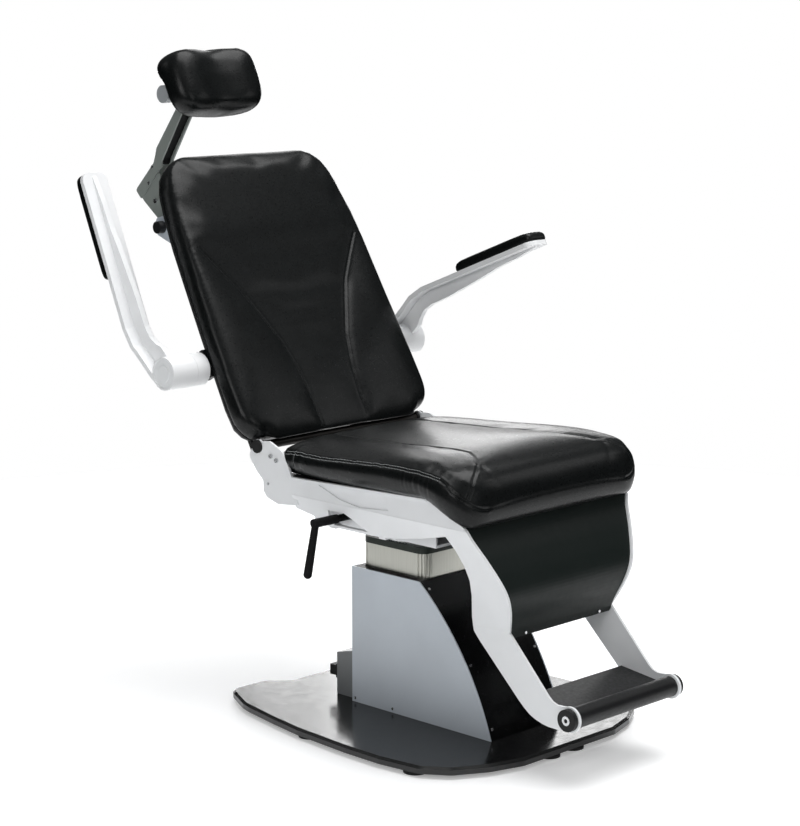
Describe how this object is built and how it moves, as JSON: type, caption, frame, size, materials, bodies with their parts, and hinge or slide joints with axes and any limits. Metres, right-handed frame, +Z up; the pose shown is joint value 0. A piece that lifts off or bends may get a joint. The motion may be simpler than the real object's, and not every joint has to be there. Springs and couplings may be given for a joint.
{
  "type": "ophthalmic examination chair",
  "caption": "Examination chair on a swivelling lift column, with reclining backrest, swing-up armrests, jointed headrest and footrest, black upholstery.",
  "frame": {"origin": "point on the floor under the column's axis", "axes": "+X to the patient's left, -Y to the front where the foot bar is, +Z up"},
  "size_m": [0.798, 1.5687, 1.4803],
  "materials": {
    "black_leather": "satin",
    "white_paint": "satin",
    "grey_paint": "satin",
    "black_paint": "satin",
    "link_grey_paint": "satin",
    "collar_paint": "satin",
    "alloy": "brushed",
    "steel": "brushed",
    "black_plastic": "matte",
    "black_board": "painted",
    "rubber": "matte"
  },
  "bodies": {
    "base": {"base_plate": "black_paint", "base_feet": "rubber", "pedestal_side_right": "grey_paint", "pedestal_side_left": "grey_paint", "pedestal_back_cover": "grey_paint", "pedestal_top_cover": "black_paint", "pedestal_front_cover": "black_paint", "pedestal_screws": "steel", "power_box": "grey_paint", "power_inlet": "black_plastic", "column_mast": "steel", "column_glides": "black_plastic", "lift_actuator": "steel"},
    "lift": {"column_profile": "alloy", "column_collar": "collar_paint", "lift_rod": "steel", "swivel_spindle": "steel"},
    "seat": {"swivel_bearing": "black_plastic", "swivel_housing": "steel", "seat_tray": "white_paint", "seat_rails": "steel", "side_frame_right": "white_paint", "side_frame_left": "white_paint", "seat_pan": "black_board", "seat_cushion": "black_leather", "calf_panel": "black_plastic", "footplate": "black_paint", "foot_bar": "black_paint", "foot_bar_caps": "black_plastic", "frame_screws": "steel", "gas_spring": "black_plastic", "recline_shaft": "steel", "recline_caps": "black_plastic"},
    "lever": {"clamp_lever": "black_plastic", "clamp_stud": "steel"},
    "spring_rod": {"gas_spring_rod": "steel"},
    "back": {"backrest_frame": "black_paint", "backrest_board": "black_board", "backrest_rear_cover": "black_plastic", "backrest_cushion": "black_leather", "arm_axle": "steel", "arm_saddles": "black_paint", "arm_spacers": "white_paint", "headrest_arm": "grey_paint"},
    "swing_knob": {"headrest_swing_pin": "black_plastic"},
    "armrest_right": {"arm_right": "white_paint", "arm_pad_right": "black_leather", "arm_cap_right": "steel"},
    "armrest_left": {"arm_left": "white_paint", "arm_pad_left": "black_leather", "arm_cap_left": "steel"},
    "head_arm": {"headrest_link": "link_grey_paint", "headrest_stem": "link_grey_paint", "headrest_stem_cover": "black_plastic", "headrest_screws": "steel"},
    "head_knobs": {"headrest_rod": "steel", "headrest_knobs": "steel"},
    "head_pad": {"headrest_backplate": "black_paint", "headrest_cushion": "black_leather"}
  },
  "joints": [
    {"name": "column_lift", "type": "slide", "parent": "base", "child": "lift", "axis": [0, 0, 1], "range_m": [-0.05, 0.18]},
    {"name": "seat_swivel", "type": "hinge", "parent": "lift", "child": "seat", "pos_m": [0, 0, 0.455], "axis": [0, 0, 1], "continuous": true},
    {"name": "lever_turn", "type": "hinge", "parent": "seat", "child": "lever", "pos_m": [-0.262, 0.016, 0.486], "axis": [1, 0, 0], "range_deg": [-45, 60]},
    {"name": "backrest_recline", "type": "hinge", "parent": "seat", "child": "back", "pos_m": [0, 0.262, 0.613], "axis": [1, 0, 0], "range_deg": [-25, 20]},
    {"name": "spring_stroke", "type": "slide", "parent": "seat", "child": "spring_rod", "axis": [0, 1, 0], "range_m": [-0.04571, 0.03657]},
    {"name": "armrest_right_swing", "type": "hinge", "parent": "back", "child": "armrest_right", "pos_m": [-0.364, 0.41579, 0.77491], "axis": [1, 0, 0], "range_deg": [0, 92]},
    {"name": "armrest_left_swing", "type": "hinge", "parent": "back", "child": "armrest_left", "pos_m": [0.364, 0.41579, 0.77491], "axis": [-1, 0, 0], "range_deg": [0, 92]},
    {"name": "headrest_swing", "type": "hinge", "parent": "back", "child": "head_arm", "pos_m": [0, 0.858, 1.04495], "axis": [1, 0, 0], "range_deg": [-30, 15]},
    {"name": "swing_knob_turn", "type": "hinge", "parent": "back", "child": "swing_knob", "pos_m": [0, 0.858, 1.04495], "axis": [1, 0, 0], "continuous": true},
    {"name": "headrest_tilt", "type": "hinge", "parent": "head_arm", "child": "head_pad", "pos_m": [0, 0.75297, 1.37203], "axis": [1, 0, 0], "range_deg": [-25, 25]},
    {"name": "headrest_knob_turn", "type": "hinge", "parent": "head_arm", "child": "head_knobs", "pos_m": [0, 0.75297, 1.37203], "axis": [1, 0, 0], "continuous": true}
  ],
  "couplings": [
    {"joint": "spring_stroke", "follows": "backrest_recline", "m_per_rad": 0.10476}
  ]
}
